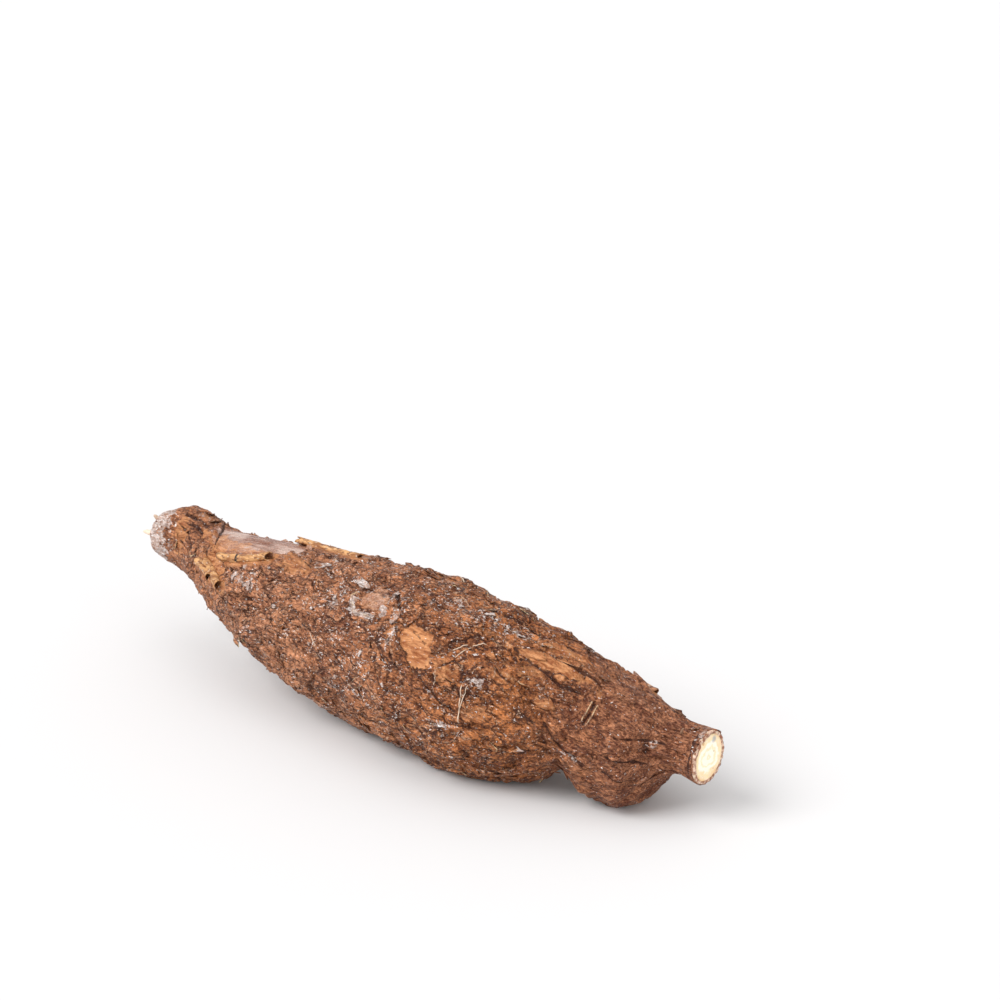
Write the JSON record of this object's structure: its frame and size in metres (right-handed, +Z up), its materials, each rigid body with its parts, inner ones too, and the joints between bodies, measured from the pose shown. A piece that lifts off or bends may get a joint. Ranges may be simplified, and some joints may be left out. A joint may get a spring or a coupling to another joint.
{
  "type": "cassava root",
  "caption": "Whole cassava root lying on its side: tapering body with scaly bark, loose bark curls, a blunt tip and a cut neck that shows the flesh.",
  "frame": {"origin": "on the floor, under the middle of the root's bounding box", "axes": "+X along the root from its thin tip to its cut neck, +Z up, +Y to the root's back as it lies"},
  "size_m": [0.317, 0.0852, 0.0747],
  "materials": {
    "bark": "dull flaky brown bark with pale wax flecks, and cream flesh at the cut"
  },
  "bodies": {
    "root": {"cassava_root": "bark"}
  },
  "joints": []
}
